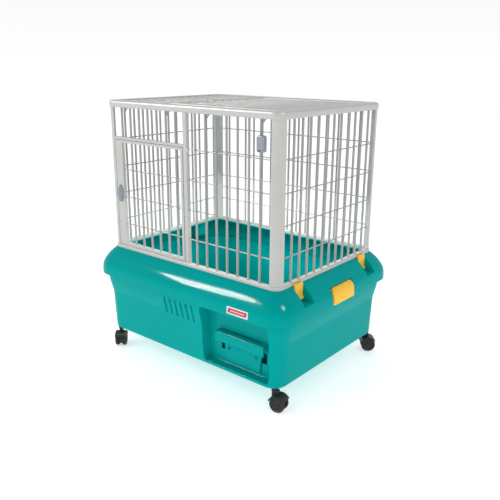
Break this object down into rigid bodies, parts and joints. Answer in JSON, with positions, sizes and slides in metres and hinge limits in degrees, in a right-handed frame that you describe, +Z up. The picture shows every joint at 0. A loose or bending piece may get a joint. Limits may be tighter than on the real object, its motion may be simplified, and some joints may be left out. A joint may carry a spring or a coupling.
{
  "type": "small animal cage",
  "caption": "Barred small-animal cage with a front door and roof hatch on a moulded tub with a rim, side clips, a small drawer and swivel casters.",
  "frame": {"origin": "on the floor, under the centre of the cage", "axes": "+Z up, +X to the right along the front, the door side faces -Y"},
  "size_m": [0.607, 0.4747, 0.635],
  "materials": {
    "teal_plastic": "glossy moulded teal",
    "grey_plastic": "warm light grey, satin",
    "grey_wire": "light grey powder coat",
    "yellow_plastic": "glossy yellow-orange",
    "blue_grey_plastic": "blue-grey",
    "black_plastic": "black",
    "pin_steel": "bright",
    "sticker": "plain red and white sticker"
  },
  "bodies": {
    "cage": {"base_tub": "teal_plastic", "rim_collar": "teal_plastic", "drawer_housing": "teal_plastic", "latch_pins": "pin_steel", "side_clip_pins": "pin_steel", "front_label": "sticker", "base_frame": "grey_plastic", "post_front_left": "grey_plastic", "post_front_right": "grey_plastic", "post_back_left": "grey_plastic", "post_back_right": "grey_plastic", "post_middle": "grey_plastic", "door_header": "grey_plastic", "front_bars_right": "grey_wire", "front_bars_upper": "grey_wire", "back_bars": "grey_wire", "side_bars_left": "grey_wire", "side_bars_right": "grey_wire", "door_hinge_pins": "pin_steel", "bottle_clip": "blue_grey_plastic", "roof_frame": "grey_plastic", "roof_bars_left": "grey_wire", "roof_hooks": "blue_grey_plastic", "hatch_pins": "pin_steel", "caster_stem_front_left": "black_plastic", "caster_stem_front_right": "black_plastic", "caster_stem_back_right": "black_plastic", "caster_stem_back_left": "black_plastic"},
    "door": {"door_frame": "grey_plastic", "door_bars": "grey_wire"},
    "door_latch": {"door_latch": "blue_grey_plastic"},
    "hatch": {"hatch_frame": "grey_plastic", "hatch_bars": "grey_wire", "hatch_hinge_tabs": "grey_plastic"},
    "drawer": {"drawer": "teal_plastic"},
    "latch_front_left": {"latch_front_left": "yellow_plastic"},
    "latch_back_left": {"latch_back_left": "yellow_plastic"},
    "side_clip_left": {"side_clip_left": "yellow_plastic"},
    "latch_front_right": {"latch_front_right": "yellow_plastic"},
    "latch_back_right": {"latch_back_right": "yellow_plastic"},
    "side_clip_right": {"side_clip_right": "yellow_plastic"},
    "caster_front_left": {"caster_body_front_left": "black_plastic", "caster_axle_front_left": "black_plastic"},
    "wheel_a_front_left": {"wheel_a_front_left": "black_plastic"},
    "wheel_b_front_left": {"wheel_b_front_left": "black_plastic"},
    "caster_front_right": {"caster_body_front_right": "black_plastic", "caster_axle_front_right": "black_plastic"},
    "wheel_a_front_right": {"wheel_a_front_right": "black_plastic"},
    "wheel_b_front_right": {"wheel_b_front_right": "black_plastic"},
    "caster_back_right": {"caster_body_back_right": "black_plastic", "caster_axle_back_right": "black_plastic"},
    "wheel_a_back_right": {"wheel_a_back_right": "black_plastic"},
    "wheel_b_back_right": {"wheel_b_back_right": "black_plastic"},
    "caster_back_left": {"caster_body_back_left": "black_plastic", "caster_axle_back_left": "black_plastic"},
    "wheel_a_back_left": {"wheel_a_back_left": "black_plastic"},
    "wheel_b_back_left": {"wheel_b_back_left": "black_plastic"}
  },
  "joints": [
    {"name": "door_hinge", "type": "hinge", "parent": "cage", "child": "door", "pos_m": [-0.011, -0.1905, 0.409], "axis": [0, 0, 1], "range_deg": [0, 105]},
    {"name": "door_latch_slide", "type": "slide", "parent": "door", "child": "door_latch", "axis": [-1, 0, 0], "range_m": [0, 0.006]},
    {"name": "hatch_hinge", "type": "hinge", "parent": "cage", "child": "hatch", "pos_m": [-0.08, 0, 0.63], "axis": [0, -1, 0], "range_deg": [0, 110]},
    {"name": "drawer_slide", "type": "slide", "parent": "cage", "child": "drawer", "axis": [0, -1, 0], "range_m": [0, 0.13]},
    {"name": "latch_front_left_hinge", "type": "hinge", "parent": "cage", "child": "latch_front_left", "pos_m": [-0.269, -0.131, 0.242], "axis": [0, -1, 0], "range_deg": [0, 80]},
    {"name": "latch_back_left_hinge", "type": "hinge", "parent": "cage", "child": "latch_back_left", "pos_m": [-0.269, 0.131, 0.242], "axis": [0, -1, 0], "range_deg": [0, 80]},
    {"name": "side_clip_left_hinge", "type": "hinge", "parent": "cage", "child": "side_clip_left", "pos_m": [-0.2911, 0.003, 0.2406], "axis": [0, 1, 0], "range_deg": [0, 85]},
    {"name": "latch_front_right_hinge", "type": "hinge", "parent": "cage", "child": "latch_front_right", "pos_m": [0.269, -0.131, 0.242], "axis": [0, 1, 0], "range_deg": [0, 80]},
    {"name": "latch_back_right_hinge", "type": "hinge", "parent": "cage", "child": "latch_back_right", "pos_m": [0.269, 0.131, 0.242], "axis": [0, 1, 0], "range_deg": [0, 80]},
    {"name": "side_clip_right_hinge", "type": "hinge", "parent": "cage", "child": "side_clip_right", "pos_m": [0.2911, 0.003, 0.2406], "axis": [0, -1, 0], "range_deg": [0, 85]},
    {"name": "caster_front_left_swivel", "type": "hinge", "parent": "cage", "child": "caster_front_left", "pos_m": [-0.257, -0.192, 0.03], "axis": [0, 0, 1], "continuous": true},
    {"name": "wheel_a_front_left_roll", "type": "hinge", "parent": "caster_front_left", "child": "wheel_a_front_left", "pos_m": [-0.25071, -0.19977, 0.018], "axis": [-0.7771, -0.6293, 0], "continuous": true},
    {"name": "wheel_b_front_left_roll", "type": "hinge", "parent": "caster_front_left", "child": "wheel_b_front_left", "pos_m": [-0.25071, -0.19977, 0.018], "axis": [-0.7771, -0.6293, 0], "continuous": true},
    {"name": "caster_front_right_swivel", "type": "hinge", "parent": "cage", "child": "caster_front_right", "pos_m": [0.257, -0.192, 0.03], "axis": [0, 0, 1], "continuous": true},
    {"name": "wheel_a_front_right_roll", "type": "hinge", "parent": "caster_front_right", "child": "wheel_a_front_right", "pos_m": [0.26688, -0.19044, 0.018], "axis": [0.1564, -0.9877, 0], "continuous": true},
    {"name": "wheel_b_front_right_roll", "type": "hinge", "parent": "caster_front_right", "child": "wheel_b_front_right", "pos_m": [0.26688, -0.19044, 0.018], "axis": [0.1564, -0.9877, 0], "continuous": true},
    {"name": "caster_back_right_swivel", "type": "hinge", "parent": "cage", "child": "caster_back_right", "pos_m": [0.257, 0.192, 0.03], "axis": [0, 0, 1], "continuous": true},
    {"name": "wheel_a_back_right_roll", "type": "hinge", "parent": "caster_back_right", "child": "wheel_a_back_right", "pos_m": [0.26477, 0.19829, 0.018], "axis": [0.6293, -0.7771, 0], "continuous": true},
    {"name": "wheel_b_back_right_roll", "type": "hinge", "parent": "caster_back_right", "child": "wheel_b_back_right", "pos_m": [0.26477, 0.19829, 0.018], "axis": [0.6293, -0.7771, 0], "continuous": true},
    {"name": "caster_back_left_swivel", "type": "hinge", "parent": "cage", "child": "caster_back_left", "pos_m": [-0.257, 0.192, 0.03], "axis": [0, 0, 1], "continuous": true},
    {"name": "wheel_a_back_left_roll", "type": "hinge", "parent": "caster_back_left", "child": "wheel_a_back_left", "pos_m": [-0.2617, 0.20083, 0.018], "axis": [0.8829, 0.4695, 0], "continuous": true},
    {"name": "wheel_b_back_left_roll", "type": "hinge", "parent": "caster_back_left", "child": "wheel_b_back_left", "pos_m": [-0.2617, 0.20083, 0.018], "axis": [0.8829, 0.4695, 0], "continuous": true}
  ]
}
